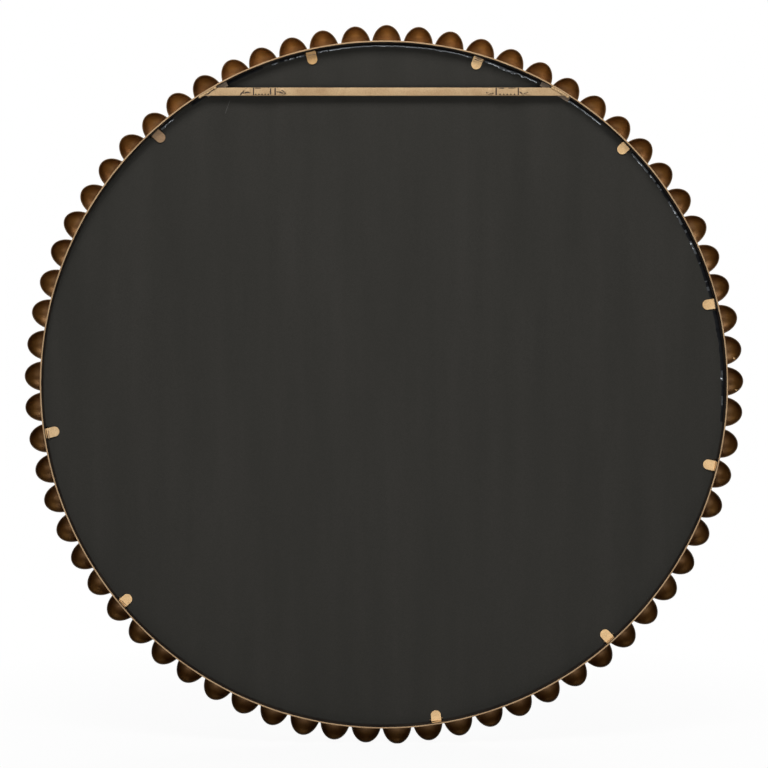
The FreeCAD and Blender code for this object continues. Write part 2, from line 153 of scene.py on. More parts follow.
# Where the bead lies thick: angle in the photograph, spread in degrees, how much wider and higher, and how lumpy
BEAD_BLOBS = [
    (86, 11, 0.45, 0.80, 0.2), (103, 5, 0.3, 0.4, 1.0), (68, 3.4, 1.1, 1.0, 0.7), (54.4, 3.2, 0.6, 0.85, 0.4),
    (10, 12, 1.0, 0.05, 1.0), (29, 9, 0.6, 0.27, 1.0), (41, 2.5, 0.3, 0.18, 1.0), (1.8, 0.7, 0.3, 0.45, 0.5),
    (-2.4, 0.7, 0.2, 0.25, 0.8), (118, 7, 0.4, 0.04, 1.0), (131, 2.5, 0.4, 0.5, 1.0),
]
# Width, height and lumpiness between them, and from which height it is glossy and which width smeared
BEAD_PLAIN = (0.08, 0.04, 0.0)
GLOSSY_FROM = 0.2
SMEARED_FROM = 0.25
# Its section in mm: what a width or height of 1 stands for, and what the ripples add
BEAD_WIDTH = 2.2
BEAD_HEIGHT = 1.15
BEAD_OVERLAP = 0.1
LEAST_CREST = 0.08
TROUGH_WIDTH, TROUGH_RIPPLE = 0.5, 0.3
TROUGH_CLIMB, CLIMB_RIPPLE = 1.8, 1.2
LEAST_LUMP = 0.12
# Its noises: strength, fineness and shift
FINE_LUMPS, COARSE_LUMPS = (1.5, 190.0, (0, 9, 0)), (1.7, 43.0)
COARSE_RIPPLES, FINE_RIPPLES = (0.45, 90.0), (0.4, 230.0)
COARSE_SWELLS, FINE_SWELLS = (0.6, 70.0, (5, 0, 0)), (0.9, 260.0)
# How it is bedded on the board, in the trough and in the gap round the pane
BEAD_BED = 0.02 * MM
TROUGH_SAG = 0.3 * MM
PANE_GAP = 0.1 * MM
BEAD_ROOT = 2.5 * MM
BEAD_FOOT = 0.2 * MM
# Half the break at a tab, length of a step, steps over which it rises, and points across its hump and trough
BEAD_BREAK = 8.6 * MM
BEAD_STEP = 1.3 * MM
BEAD_RISE_STEPS = 6.0
BEAD_HUMP, BEAD_TROUGH = 9, 4

# Hangers: flat ends up to the middle of a ramp, notches, the sheared end and the cut corners
HANGER_THICKNESS = 0.9 * MM
HANGER_SIDES = 4
HANGER_END = 14.0 * MM
HALF_RAMP = 0.85 * MM
NOTCH_COUNT = 5
HALF_NOTCH = 1.5 * MM
NOTCH_DEPTH = 2.3 * MM
END_SHEAR = 7.0 * MM
END_CORNER = 1.2 * MM
# A dark sheet in the hollow behind the raised middle, as painted shade, and its depths from the bar's back
HOLLOW_INSET = 1.2 * MM
HOLLOW_BOTTOM = 0.3 * MM
HOLLOW_TOP = 0.8 * MM
HOLLOW_DEPTHS = (-0.1 * MM, 0.12 * MM)
# First and last notch across the photograph
LEFT_NOTCHES = (256.5, 269.0)
RIGHT_NOTCHES = (499.5, 513.8)
# Dark lines on them as painted shade, at the steps, under the rivet heads and along the sheared end: whether on the
# raised middle, width in mm and the photograph's pixels
LEFT_SHADE_LINES = [
    (False, 1.7, [(240.4, 95.0), (244.0, 91.0), (248.0, 87.2)]),
    (False, 1.8, [(243.6, 93.0), (248.0, 91.8), (251.4, 92.3)]),
    (True, 1.5, [(271.3, 94.4), (271.3, 87.4)]),
    (False, 1.8, [(277.0, 91.2), (280.5, 91.9), (286.6, 93.2)]),
    (False, 1.2, [(281.6, 89.6), (284.4, 91.0), (286.6, 93.2)]),
    (True, 0.8, [(254.5, 88.0), (270.0, 87.7)]),
]
RIGHT_SHADE_LINES = [
    (False, 1.7, [(485.6, 91.6), (489.0, 93.8), (493.2, 92.4)]),
    (False, 1.7, [(518.6, 91.2), (522.4, 93.8), (527.4, 91.6)]),
    (True, 0.8, [(498.0, 88.0), (515.0, 87.8)]),
]

# Rivets: where across the photograph, the height of a head, and its rings as radius and rise, in mm
RIVETS_ACROSS = [248.0, 282.5, 489.5, 523.5]
RIVET_HEIGHT = 0.9
RIVET_RINGS = [(4.2, -0.05), (4.1, 0.25), (3.6, 0.5), (2.6, 0.72), (1.3, 0.86)]
RIVET_AROUND = 28

# Welds: lumps up each end of the bar, from a little below it, and their ranges of half length, width and height in mm
WELD_SEED = 5
WELD_LUMPS = 7
WELD_AROUND, WELD_RINGS = 12, 5
WELD_BELOW_BAR = 0.6 * MM
WELD_LONGER = 0.8 * MM
WELD_ABOVE_BAR = 0.1 * MM
WELD_INSET = 0.5 * MM
WELD_RANGES = ((2.2, 3.2), (1.5, 2.2), (1.9, 2.4))

# Lines laid on a surface: section as side and rise, how ragged and swaying they are, and how they taper
LINE_SECTION = [(-1, 0.06 * MM), (1, 0.06 * MM), (1, -0.12 * MM), (-1, -0.12 * MM)]
LINE_STEPS = 14
RAGGED, RAGGED_FINENESS, RAGGED_SHIFT = 0.55, 3.1, 0.4
SWAY, SWAY_FINENESS, SWAY_SHIFT = 0.35, 4.3, 1.7
TIP_WIDTH = 0.35
TAPER = 6
ABOVE_PART = 5 * MM
# A scratch on the board, by the photograph's pixels
SCRATCH = [(230.5, 98.5), (228.0, 105.0), (225.5, 112.0)]
SCRATCH_WIDTH = 0.6 * MM
SCRATCH_SEED = 9.0

# Metallic paint: fineness and stops of its clouds and grain, and how it varies
CLOUD_FINENESS = 38.0
CLOUD_STOPS = (0.28, 0.5, 0.72)
GRAIN_FINENESS = 900.0
GRAIN_STOPS = [(0.3, (0.72, 0.70, 0.68)), (0.6, (1.0, 1.0, 1.0))]
GRAIN_SHARE = 0.8
GRAIN_BUMP = 0.25
GRAIN_HEIGHT = 0.12 * MM
SMOOTHER, ROUGHER = 0.06, 0.08
LACQUER_ROUGHNESS = 0.35
# Sockets of the mix node for colours and for numbers: share, first, second and result
COLOUR_MIX = (0, 6, 7, 2)
NUMBER_MIX = (0, 2, 3, 0)

# Floor: half its side, its grey, and how white the camera sees it, near and far, in metres from the middle
FLOOR_HALF = 14.0
FLOOR_GREYS = (0.58, 0.62)
FLOOR_WHITE = (0.93, 1.0)
FLOOR_WHITE_PLACES = (0.5, 1.0)
# Surroundings: the light they give beside what is seen, and how they fade upwards on the wall's side
WORLD_LIGHT, WORLD_SEEN = 0.55, 1.0
FADE_LEVELS, FADE_HEIGHTS = (1.0, 0.08), (-0.1, 0.45)
WALL_SIDE = (-0.1, 0.3)
# Camera behind the mirror
CAMERA_DISTANCE = 2.6
CAMERA_ABOVE = math.radians(1.65)
CAMERA_TARGET = Vector((0.0, 0.0, 0.0025))
CAMERA_SENSOR = 36.0
CAMERA_LENS = 95.5


# Materials

def tools_of(tree):
    """Node adder and link maker of a node tree."""
    def add(kind, **values):
        node = tree.nodes.new(kind)
        for key, value in values.items():
            if key in node.inputs:
                node.inputs[key].default_value = value
            else:
                setattr(node, key, value)
        return node

    return add, tree.links.new


def nodes_of(name):
    """Make a node material and give its node adder, link maker and shader."""
    made = bpy.data.materials.new(name)
    made.use_nodes = True
    return made, *tools_of(made.node_tree), made.node_tree.nodes["Principled BSDF"]


def grey(level):
    """A grey of one level."""
    return (level, level, level)


def own_place(add):
    """The shaded point in the part's own metres."""
    return add("ShaderNodeTexCoord").outputs["Object"]


def patches(add, link, scale, stretch=(1, 1, 1), detail=4.0, rough=0.55):
    """Noise in the part's own metres, stretched along an axis where asked."""
    spread = add("ShaderNodeMapping", Scale=stretch)
    link(own_place(add), spread.inputs["Vector"])
    spots = add("ShaderNodeTexNoise", Scale=scale, Detail=detail, Roughness=rough)
    link(spread.outputs["Vector"], spots.inputs["Vector"])
    return spots.outputs["Fac"]


def ramp(add, link, source, stops):
    """Colours at places along a value."""
    node = add("ShaderNodeValToRGB")
    band = node.color_ramp
    while len(band.elements) < len(stops):
        band.elements.new(0.5)
    for element, (place, colour) in zip(band.elements, stops):
        element.position = place
        element.color = (*colour, 1.0)
    link(source, node.inputs["Fac"])
    return node.outputs["Color"]


def multiplied(add, link, first, second, share=1.0):
    """Multiply a colour by a second one, by a share."""
    node = add("ShaderNodeMix", data_type="RGBA", blend_type="MULTIPLY")
    by, one, other, result = COLOUR_MIX
    node.inputs[by].default_value = share
    link(first, node.inputs[one])
    link(second, node.inputs[other])
    return node.outputs[result]


def combined(add, link, operation, first, second):
    """One value worked out from two by an operation of the math node."""
    node = add("ShaderNodeMath", operation=operation)
    link(first, node.inputs[0])
    link(second, node.inputs[1])
    return node.outputs[0]


def span(add, link, source, low, high, start=0.3, end=0.7):
    """Map a value that goes from start to end onto one from low to high."""
    node = add("ShaderNodeMapRange", **{"From Min": start, "From Max": end, "To Min": low, "To Max": high})
    link(source, node.inputs["Value"])
    return node.outputs["Result"]


def length_of(add, link, place):
    """Length of a vector."""
    node = add("ShaderNodeVectorMath", operation="LENGTH")
    link(place, node.inputs[0])
    return node.outputs["Value"]


def bumped(add, link, shader, source, strength, distance):
    """Raise the surface a little by a value."""
    node = add("ShaderNodeBump", Strength=strength, Distance=distance)
    link(source, node.inputs["Height"])
    link(node.outputs["Normal"], shader.inputs["Normal"])


def height_shade(add, link, lowest):
    """Grey of painted shade that rises from a level at the bottom of the part to white at its top."""
    parts = add("ShaderNodeSeparateXYZ")
    link(own_place(add), parts.inputs[0])
    height = span(add, link, parts.outputs["Z"], 0.0, 1.0, cad_low.z, cad_high.z)
    return ramp(add, link, height, [(0.0, grey(lowest)), (1.0, grey(1.0))])


def rim_painted_shade(add, link):
    """Painted shade that darkens the petals from beside the hoop towards their tips."""
    flat = add("ShaderNodeVectorMath", operation="MULTIPLY")
    flat.inputs[1].default_value = (1.0, 0.0, 1.0)
    link(own_place(add), flat.inputs[0])
    away = length_of(add, link, flat.outputs[0])
    share = span(add, link, away, 0.0, 1.0, RIM_OUTSIDE, cad_high.x)
    return ramp(add, link, share, RIM_SHADE_STOPS)


def paint(name, pale, plain, dark, metallic, roughness, shade=None, gloss=0.5, lacquer=0.0, painted_rim_shade=False):
    """Metallic paint with cloudy patches and fine grain.

    shade darkens it towards the bottom as painted shade, lacquer lays a satin coat over it and painted_rim_shade
    darkens it as painted shade away from the hoop, leaving it paler beside the hoop.
    """
    made, add, link, shader = nodes_of(name)
    cloud = patches(add, link, CLOUD_FINENESS)
    fine = patches(add, link, GRAIN_FINENESS, detail=2.0)
    colour = ramp(add, link, cloud, list(zip(CLOUD_STOPS, (dark, plain, pale))))
    coat = multiplied(add, link, colour, ramp(add, link, fine, GRAIN_STOPS), GRAIN_SHARE)
    if shade:
        coat = multiplied(add, link, coat, height_shade(add, link, shade))
    if painted_rim_shade:
        coat = multiplied(add, link, coat, rim_painted_shade(add, link))
    link(coat, shader.inputs["Base Color"])
    link(span(add, link, cloud, roughness - SMOOTHER, roughness + ROUGHER), shader.inputs["Roughness"])
    shader.inputs["Metallic"].default_value = metallic
    shader.inputs["Specular IOR Level"].default_value = gloss
    shader.inputs["Coat Weight"].default_value = lacquer
    shader.inputs["Coat Roughness"].default_value = LACQUER_ROUGHNESS
    bumped(add, link, shader, fine, GRAIN_BUMP, GRAIN_HEIGHT)
    return made


def make_board():
    """Matt charcoal paint with faint upright streaks and fine dust."""
    made, add, link, shader = nodes_of("charcoal_paint")
    streak = patches(add, link, 9.0, stretch=(3.0, 1.0, 0.35), detail=3.0)
    fine = patches(add, link, 700.0, detail=2.0)
    colour = ramp(add, link, streak, [
        (0.3, (0.0228, 0.0220, 0.0190)), (0.5, (0.0256, 0.0246, 0.0214)), (0.72, (0.0288, 0.0275, 0.0242)),
    ])
    dust = ramp(add, link, fine, [(0.35, grey(0.88)), (0.7, grey(1.08))])
    link(multiplied(add, link, colour, dust), shader.inputs["Base Color"])
    link(span(add, link, streak, 0.62, 0.74), shader.inputs["Roughness"])
    shader.inputs["Specular IOR Level"].default_value = 0.08
    bumped(add, link, shader, fine, strength=0.15, distance=0.1 * MM)
    return made


def make_roots():
    """Dull dark paint of the tabs' standing roots, as painted shade in the gap beside the hoop."""
    made, add, link, shader = nodes_of("tab_root_paint")
    cloud = patches(add, link, 60.0)
    dull = ramp(add, link, cloud, [(0.3, (0.030, 0.022, 0.016)), (0.7, (0.060, 0.044, 0.030))])
    link(dull, shader.inputs["Base Color"])
    link(span(add, link, cloud, 0.5, 0.65), shader.inputs["Roughness"])
    shader.inputs["Metallic"].default_value = 0.3
    return made


def make_glass():
    """Silvered glass: a clear reflection with the faintest cloud of dust."""
    made, add, link, shader = nodes_of("silvered_glass")
    cloud = patches(add, link, 5.0)
    silver = ramp(add, link, cloud, [(0.3, (0.80, 0.83, 0.82)), (0.7, (0.86, 0.88, 0.87))])
    link(silver, shader.inputs["Base Color"])
    link(span(add, link, cloud, 0.012, 0.03), shader.inputs["Roughness"])
    shader.inputs["Metallic"].default_value = 1.0
    return made


def make_sealant(name, gloss, roughness):
    """Black sealant with faint cloudy patches."""
    made, add, link, shader = nodes_of(name)
    cloud = patches(add, link, 140.0)
    black = ramp(add, link, cloud, [(0.3, (0.003, 0.003, 0.0035)), (0.7, (0.007, 0.007, 0.008))])
    link(black, shader.inputs["Base Color"])
    link(span(add, link, cloud, roughness - 0.06, roughness + 0.06), shader.inputs["Roughness"])
    shader.inputs["Specular IOR Level"].default_value = gloss
    shader.inputs["Specular Tint"].default_value = (0.88, 0.94, 1.0, 1.0)
    bumped(add, link, shader, cloud, strength=0.3, distance=0.3 * MM)
    return made


gold_paint = paint(
    "antique_gold", (0.44, 0.300, 0.165), (0.385, 0.252, 0.132), (0.31, 0.19, 0.092),
    metallic=0.35, roughness=0.55,
)
# A lighter copy of the gold: painted light on the hoop's outer wall and the welds, and the brighter tone of tab 6.
bright_gold_and_painted_light = paint(
    "bright_gold_and_painted_light", (0.64, 0.455, 0.25), (0.57, 0.385, 0.198), (0.48, 0.31, 0.155),
    metallic=0.35, roughness=0.5,
)
tab_gold = paint(
    "tab_gold", (0.78, 0.546, 0.285), (0.695, 0.462, 0.226), (0.585, 0.372, 0.177),
    metallic=0.35, roughness=0.5,
)
tan_gold = paint(
    "tab_tan", (0.56, 0.345, 0.142), (0.47, 0.275, 0.108), (0.37, 0.208, 0.08),
    metallic=0.3, roughness=0.55,
)
# A darker copy of the tab gold, as painted shade on tab 5.
shaded_tab_gold = paint(
    "tab_painted_shade", (0.33, 0.205, 0.108), (0.27, 0.165, 0.085), (0.205, 0.12, 0.06),
    metallic=0.2, roughness=0.6,
)
# The petals' edges, with painted shade that darkens them towards the bottom.
petal_edge = paint(
    "petal_edge", (0.160, 0.085, 0.030), (0.125, 0.064, 0.021), (0.085, 0.043, 0.014),
    metallic=0.3, roughness=0.6, shade=0.12,
)
# Dark brown of the cracks at the bar's ends, and of the painted shade on the hangers and on tab 7's folds.
crack_and_shade_brown = paint(
    "paint_cracks_and_shade", (0.050, 0.026, 0.013), (0.032, 0.016, 0.009), (0.018, 0.010, 0.006),
    metallic=0.0, roughness=0.75,
)
scratch_grey = paint(
    "board_scratch", (0.075, 0.072, 0.066), (0.055, 0.053, 0.048), (0.040, 0.038, 0.035),
    metallic=0.0, roughness=0.7,
)
# The petals' insides: dark brown, partly their own finish and partly painted shade of the hollows, with painted shade
# darker towards the bottom and away from the hoop.
petal_brown = paint(
    "petal_inside", (0.366, 0.204, 0.088), (0.311, 0.167, 0.065), (0.252, 0.1285, 0.046),
    metallic=1.0, roughness=0.47, shade=0.45, lacquer=0.5, painted_rim_shade=True,
)
bar_gold = paint(
    "bar_gold", (0.48, 0.335, 0.182), (0.43, 0.288, 0.150), (0.35, 0.220, 0.106),
    metallic=0.35, roughness=0.52,
)
# Painted shade on the folds of tabs 3, 4 and 6.
fold_shade_brown = paint(
    "tab_fold_shade", (0.30, 0.205, 0.125), (0.25, 0.165, 0.098), (0.18, 0.115, 0.066),
    metallic=0.2, roughness=0.6,
)
# Painted shade on the hoop's inner wall and in the bead's trough beside it.
wall_shade_brown = paint(
    "hoop_inside_shade", (0.030, 0.022, 0.015), (0.018, 0.013, 0.010), (0.010, 0.008, 0.007),
    metallic=0.0, roughness=0.6, gloss=0.1,
)
dull_steel = paint(
    "dull_steel", (0.20, 0.155, 0.11), (0.16, 0.12, 0.085), (0.11, 0.08, 0.055),
    metallic=0.35, roughness=0.6,
)
board_paint = make_board()
glass_silver = make_glass()
sealant_black = make_sealant("black_sealant", gloss=0.7, roughness=0.11)
sealant_flat = make_sealant("smeared_sealant", gloss=0.08, roughness=0.3)
root_shade_paint = make_roots()


# Meshes

def tidied(mesh):
    """Merge points that coincide, drop faces without area and turn the faces outwards."""
    work = bmesh.new()
    work.from_mesh(mesh)
    bmesh.ops.remove_doubles(work, verts=work.verts, dist=MERGE)
    bmesh.ops.dissolve_degenerate(work, edges=work.edges, dist=MERGE)
    bmesh.ops.recalc_face_normals(work, faces=work.faces)
    work.to_mesh(mesh)
    work.free()


def piece(name, points, faces, materials, replaced=(), body=MAIN_BODY, sharp=40.0, marks=None):
    """Make a smooth-shaded piece of the part, in metres, riding on a body.

    marks gives each face's material, and edges beyond sharp degrees stay sharp.
    """
    mesh = bpy.data.meshes.new(name)
    mesh.from_pydata(points, [], faces)
    for material in materials:
        mesh.materials.append(material)
    if marks:
        mesh.polygons.foreach_set("material_index", marks)
    tidied(mesh)
    mesh.validate()
    mesh.shade_smooth()
    mesh.set_sharp_from_angle(angle=math.radians(sharp))
    made = bpy.data.objects.new(name, mesh)
    bpy.context.scene.collection.objects.link(made)
    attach(made, body)
    if replaced:
        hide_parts(*replaced)
    return made


def ring_place(angle, radius, depth):
    """Point at an angle about the mirror's axis, counted from +X towards +Z."""
    return (radius * math.cos(angle), depth, radius * math.sin(angle))


def uneven(spot, strength, fineness, shift=(0, 0, 0)):
    """Smooth noise of a strength at a point."""
    return strength * noise.noise(spot * fineness + Vector(shift))


def row_faces(rows, columns, first=0):
    """Quads between rows of points, each row closed to a ring."""
    faces = []
    for row in range(rows - 1):
        for column in range(columns):
            after = (column + 1) % columns
            low, high = first + row * columns, first + (row + 1) * columns
            faces.append((low + column, low + after, high + after, high + column))
    return faces


def tube_faces(rows, columns, first=0):
    """Quads between closed rows of points, then the two ends."""
    faces = row_faces(rows, columns, first)
    last = first + (rows - 1) * columns
    faces.append(tuple(range(first, first + columns)))
    faces.append(tuple(reversed(range(last, last + columns))))
    return faces


def dome_faces(rings, around, first):
    """Quads between rings of points, then the fan to the top point after them and the foot."""
    faces = row_faces(rings, around, first)
    last, top = first + (rings - 1) * around, first + rings * around
    faces.extend((last + step, last + (step + 1) % around, top) for step in range(around))
    faces.append(tuple(reversed(range(first, first + around))))
    return faces


def petal_skin(half_width, length, depth):
    """Rows of points over one skin of a cup, side by side, each from the back edge forwards."""
    centre = RIM_OUTSIDE - PETAL_SINK
    sink = PETAL_SINK - PETAL_BITE
    end = math.acos(sink / length)
    rows = []
    for across in range(PETAL_ACROSS + 1):
        turn = end * (2 * across / PETAL_ACROSS - 1)
        high = math.acos(min(1.0, sink / (length * math.cos(turn))))
        row = []
        for up in range(PETAL_UP + 1):
            rise = high * up / PETAL_UP
            row.append((
                centre + length * math.cos(rise) * math.cos(turn),
                PETAL_BACK - depth * math.sin(rise),
                half_width * math.cos(rise) * math.sin(turn),
            ))
        rows.append(row)
    return rows


def make_petals():
    """Hollow cups with a rounded edge, each a little different, brown inside and gold outside, with painted shade
    inside and on the edge.
    """
    draw = random.Random(PETAL_SEED)
    points, faces, marks = [], [], []
    columns = 2 * (PETAL_UP + 1) + 1
    outer, inner, edge = 0, 1, 2
    row_marks = [inner if PETAL_UP < column < columns - 1 else outer for column in range(columns)]
    row_marks[PETAL_UP] = row_marks[PETAL_UP + 1] = edge
    for number in range(PETAL_COUNT):
        angle = PETAL_PHASE + 2 * math.pi * number / PETAL_COUNT + draw.gauss(0, TURN_SPREAD)
        longer = draw.gauss(0, LENGTH_SPREAD) * MM
        wider = draw.gauss(0, WIDTH_SPREAD) * MM
        outside, inside = (
            petal_skin(PETAL_HALF_WIDTH + wider - inset, PETAL_LENGTH + longer - inset, PETAL_DEPTH - inset)
            for inset in (0.0, PETAL_WALL)
        )
        spun = Matrix.Rotation(-angle, 4, "Y")
        first = len(points)
        for out_row, in_row in zip(outside, inside):
            lip = (Vector(out_row[0]) + Vector(in_row[0])) / 2 + Vector((0, PETAL_LIP, 0))
            for point in [*reversed(out_row), lip, *in_row]:
                points.append(spun @ Vector(point))
        faces.extend(tube_faces(PETAL_ACROSS + 1, columns, first))
        marks.extend(row_marks * PETAL_ACROSS + [edge, edge])
    return piece("petal_cups", points, faces, [gold_paint, petal_brown, petal_edge], ["petals"], marks=marks)


def rounded(corners, radius):
    """Round the corners of a closed outline."""
    outline = []
    for index, corner in enumerate(corners):
        here = Vector(corner)
        before = (Vector(corners[index - 1]) - here).normalized()
        after = (Vector(corners[(index + 1) % len(corners)]) - here).normalized()
        start, end = here + before * radius, here + after * radius
        for step in range(ROUNDING_STEPS + 1):
            share = step / ROUNDING_STEPS
            outline.append(tuple(
                start * (1 - share) ** 2 + here * 2 * share * (1 - share) + end * share ** 2
            ))
    return outline


def make_hoop():
    """Rolled angle strip with softened, slightly uneven edges, painted dark on its inner wall as painted shade but
    for the bar's ends, and in a lighter gold on its outer wall as painted light.
    """
    front, back = rim_low.y, rim_high.y
    lip_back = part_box("mirror_glass")[0].y
    lip_inside = RIM_INSIDE - LIP_WIDTH
    profile = rounded([
        (lip_inside, front), (RIM_OUTSIDE, front), (RIM_OUTSIDE, back), (RIM_INSIDE, back),
        (RIM_INSIDE, lip_back), (lip_inside, lip_back),
    ], HOOP_ROUNDING)
    count = len(profile)
    plain, dark, bright = 0, 1, 2
    kinds = []
    for index, (radius, depth) in enumerate(profile):
        after = profile[(index + 1) % count]
        middle, level = (radius + after[0]) / 2, (depth + after[1]) / 2
        inner_wall = middle < RIM_INSIDE + HOOP_ROUNDING and level > lip_back + INNER_WALL_FROM
        outer_wall = middle > RIM_OUTSIDE - OUTER_WALL_SKIN
        kinds.append(dark if inner_wall else bright if outer_wall else plain)
    points, marks = [], []
    for step in range(HOOP_STEPS):
        angle = 2 * math.pi * step / HOOP_STEPS
        height = RIM_INSIDE * math.sin(angle + math.pi / HOOP_STEPS)
        at_bar = bar_low.z - GOLD_BELOW_BAR < height < bar_high.z + GOLD_ABOVE_BAR
        marks.extend([plain] * count if at_bar else kinds)
        for radius, depth in profile:
            drift = uneven(Vector(ring_place(angle, radius, depth)), *HOOP_UNEVEN)
            points.append(ring_place(angle, radius + drift, depth))
    faces = row_faces(HOOP_STEPS, count)
    last = (HOOP_STEPS - 1) * count
    for column in range(count):
        after = (column + 1) % count
        faces.append((last + column, last + after, after, column))
    return piece("hoop", points, faces, [gold_paint, wall_shade_brown, bright_gold_and_painted_light], ["rim_band"], marks=marks)


def make_bar():
    """Flat bar with softened, slightly uneven edges, its ends following the hoop."""
    section = rounded([
        (bar_low.z, bar_low.y), (bar_high.z, bar_low.y), (bar_high.z, bar_high.y), (bar_low.z, bar_high.y),
    ], BAR_ROUNDING)
    points = []
    for step in range(BAR_STEPS + 1):
        share = 2 * step / BAR_STEPS - 1
        for rise, depth in section:
            reach = math.sqrt(RIM_INSIDE ** 2 - rise ** 2)
            spot = Vector((share * reach, depth, rise))
            points.append((spot.x, spot.y, spot.z + uneven(spot, *BAR_UNEVEN)))
    return piece("bar", points, tube_faces(BAR_STEPS + 1, len(section)), [bar_gold], ["hanging_bar"])


def bead_strength(angle):
    """How wide and how high the bead lies at an angle of the photograph, and how lumpy."""
    degrees = math.degrees(angle) % 360
    wide, high, lumpy = BEAD_PLAIN
    for centre, reach, wider, higher, lumpier in BEAD_BLOBS:
        apart = (degrees - centre + 180) % 360 - 180
        share = math.exp(-(apart / reach) ** 2)
        wide += wider * share
        high += higher * share
        lumpy += lumpier * share
    return wide, high, min(1.0, lumpy)


def bead_section(angle, fade):
    """Material of the bead's hump at an angle about the axis, and its outline; fade lowers it beside the tabs."""
    glossy, smeared, bare = 0, 2, 3
    spot = Vector(ring_place(angle, PANE_RADIUS, 0.0))
    wide, tall, lumpy = bead_strength(math.pi - angle)
    lump = max(LEAST_LUMP, 1.0 + uneven(spot, *FINE_LUMPS) + uneven(spot, *COARSE_LUMPS))
    ripple = uneven(spot, *COARSE_RIPPLES) + uneven(spot, *FINE_RIPPLES)
    swell = uneven(spot, *COARSE_SWELLS) + tall * uneven(spot, *FINE_SWELLS)
    tall *= 1.0 + lumpy * (lump - 1.0)
    kind = glossy if tall > GLOSSY_FROM else smeared if wide > SMEARED_FROM else bare
    edge = PANE_RADIUS + (BEAD_OVERLAP - BEAD_WIDTH * wide * (1.0 + ripple)) * MM
    outer = RIM_INSIDE - (TROUGH_WIDTH + TROUGH_RIPPLE * ripple) * MM
    wall = RIM_INSIDE + WALL_BITE
    gap = PANE_RADIUS + PANE_GAP
    crest = (LEAST_CREST + BEAD_HEIGHT * tall * max(0.0, 1.0 + swell) * fade) * MM
    climb = (TROUGH_CLIMB + CLIMB_RIPPLE * ripple) * MM
    outline = []
    for column in range(BEAD_HUMP):
        share = column / (BEAD_HUMP - 1)
        depth = BOARD_BACK - BEAD_BED + crest * math.sin(math.pi * share)
        outline.append((edge + (outer - edge) * share, depth))
    for column in range(1, BEAD_TROUGH + 1):
        share = column / BEAD_TROUGH
        depth = BOARD_BACK - TROUGH_SAG * math.sin(math.pi * share) + climb * share ** 3
        outline.append((outer + (wall - outer) * share, depth))
    outline.extend([
        (wall, BOARD_BACK - BEAD_ROOT), (gap, BOARD_BACK - BEAD_ROOT),
        (gap, BOARD_BACK - BEAD_FOOT), (edge, BOARD_BACK - BEAD_FOOT),
    ])
    return kind, outline


def make_bead():
    """Uneven glossy bead along the edge of the back, broken at the tabs, in a dull trough beside the hoop that is
    painted dark as painted shade.
    """
    half_gap = BEAD_BREAK / PANE_RADIUS
    breaks = sorted((math.pi - math.radians(angle)) % (2 * math.pi) for angle in TAB_ANGLES)
    points, faces, marks = [], [], []
    dull = 1
    for start, end in zip(breaks, [*breaks[1:], breaks[0] + 2 * math.pi]):
        low, high = start + half_gap, end - half_gap
        steps = int((high - low) * PANE_RADIUS / BEAD_STEP)
        first = len(points)
        for step in range(steps + 1):
            angle = low + (high - low) * step / steps
            fade = min(1.0, min(step, steps - step) / BEAD_RISE_STEPS)
            kind, outline = bead_section(angle, fade)
            count = len(outline)
            points.extend(ring_place(angle, radius, depth) for radius, depth in outline)
            if step < steps:
                marks.extend([kind] * (BEAD_HUMP - 1) + [dull] * (count - BEAD_HUMP + 1))
        faces.extend(tube_faces(steps + 1, count, first))
        marks.extend((dull, dull))
    finishes = [sealant_black, wall_shade_brown, sealant_flat, board_paint]
    return piece("edge_bead", points, faces, finishes, ["sealant_bead"], sharp=60.0, marks=marks)


def photo_point(across, down, depth):
    """Point at a depth that the photograph shows at a pixel, by its scale at the back of the part."""
    return Vector(((PHOTO_CENTRE[0] - across) * PHOTO_SCALE, depth, (PHOTO_CENTRE[1] - down) * PHOTO_SCALE))


def lie_flat(pixels, depth):
    """Points of a line at one depth, by the photograph's pixels."""
    return [photo_point(across, down, depth) for across, down in pixels]


def ground_of(*made):
    """Search tree of what some pieces or solids show, for lines that are laid on them."""
    points, faces = [], []
    for shown in made:
        first = len(points)
        points.extend(vertex.co.copy() for vertex in shown.data.vertices)
        faces.extend([first + index for index in side.vertices] for side in shown.data.polygons)
    return BVHTree.FromPolygons(points, faces)


def laid(ground, point):
    """The point let down along the axis onto the ground, or left as it is where there is none."""
    hit = ground.ray_cast(Vector((point.x, cad_high.y + ABOVE_PART, point.z)), -TO_WALL)[0]
    return point if hit is None else hit


def line_piece(name, runs, material, body=MAIN_BODY, ground=None):
    """Thin ragged lines bedded in a surface: each run is its points, its width and its seed."""
    points, faces = [], []
    for way, width, seed in runs:
        first = len(points)
        for step in range(LINE_STEPS + 1):
            share = step / LINE_STEPS * (len(way) - 1)
            part = min(int(share), len(way) - 2)
            here = way[part].lerp(way[part + 1], share - part)
            along = (way[part + 1] - way[part]).normalized()
            side = along.cross(TO_WALL).normalized()
            ragged = 1.0 + RAGGED * noise.noise(Vector((seed, share * RAGGED_FINENESS, RAGGED_SHIFT)))
            sway = SWAY * width * noise.noise(Vector((share * SWAY_FINENESS, seed, SWAY_SHIFT)))
            full = min(1.0, TAPER * min(step, LINE_STEPS - step) / LINE_STEPS)
            half = width / 2 * ragged * (TIP_WIDTH + (1.0 - TIP_WIDTH) * full)
            for edge, rise in LINE_SECTION:
                corner = here + side * (sway + edge * half)
                points.append((laid(ground, corner) if ground else corner) + Vector((0, rise, 0)))
        faces.extend(tube_faces(LINE_STEPS + 1, len(LINE_SECTION), first))
    return piece(name, points, faces, [material], body=body, sharp=30.0)


